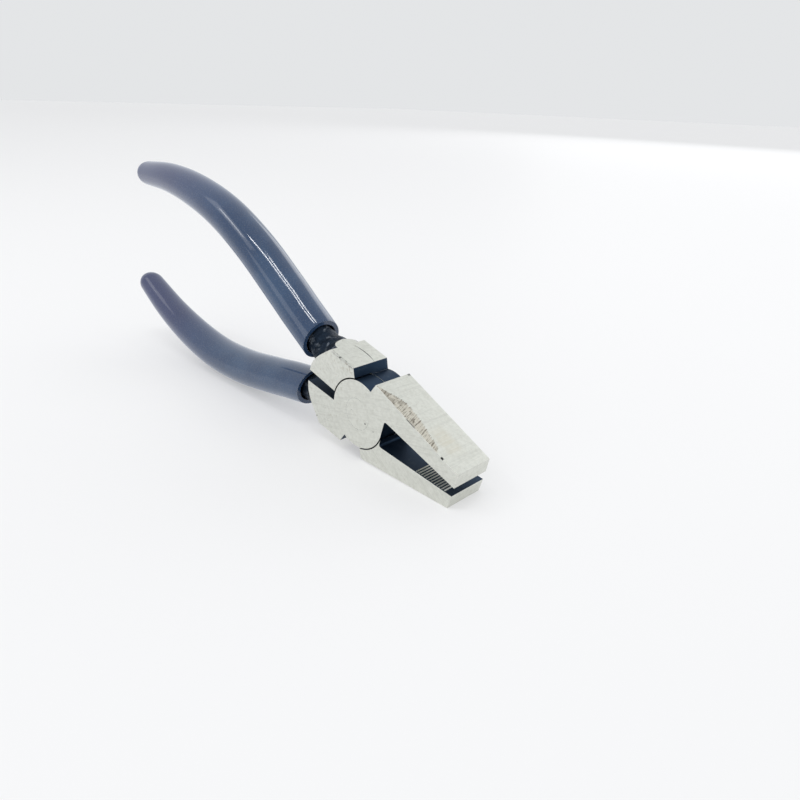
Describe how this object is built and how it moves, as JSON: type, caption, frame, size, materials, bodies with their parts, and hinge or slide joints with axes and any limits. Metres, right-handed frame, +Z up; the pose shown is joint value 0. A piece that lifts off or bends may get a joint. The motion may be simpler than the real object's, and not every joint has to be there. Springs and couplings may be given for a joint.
{
  "type": "grozing pliers",
  "caption": "Flat-jawed lap-joint pliers for nibbling and breaking glass, standing on edge, with dipped vinyl grips on curved handles.",
  "frame": {"origin": "middle of the footprint, on the surface that the tool stands on, on edge", "axes": "+X along the floor towards the jaw tips, +Y along the pivot axis from the front lever to the rear lever, +Z up"},
  "size_m": [0.1768, 0.0138, 0.0715],
  "materials": {
    "ground_steel": "ground bright on the side and outer faces, blue-black oxide in the joint, throat and necks",
    "rivet_steel": "ground flush with the side faces",
    "grip_vinyl": "glossy blue-grey dipped vinyl"
  },
  "bodies": {
    "front_lever": {"upper_jaw_half": "ground_steel", "lower_grip": "grip_vinyl", "pivot_rivet": "rivet_steel"},
    "rear_lever": {"lower_jaw_half": "ground_steel", "upper_grip": "grip_vinyl"}
  },
  "joints": [
    {"name": "pivot", "type": "hinge", "parent": "front_lever", "child": "rear_lever", "pos_m": [0.05106, 0, 0.01394], "axis": [0, 1, 0], "range_deg": [-4.1, 37.5]}
  ]
}
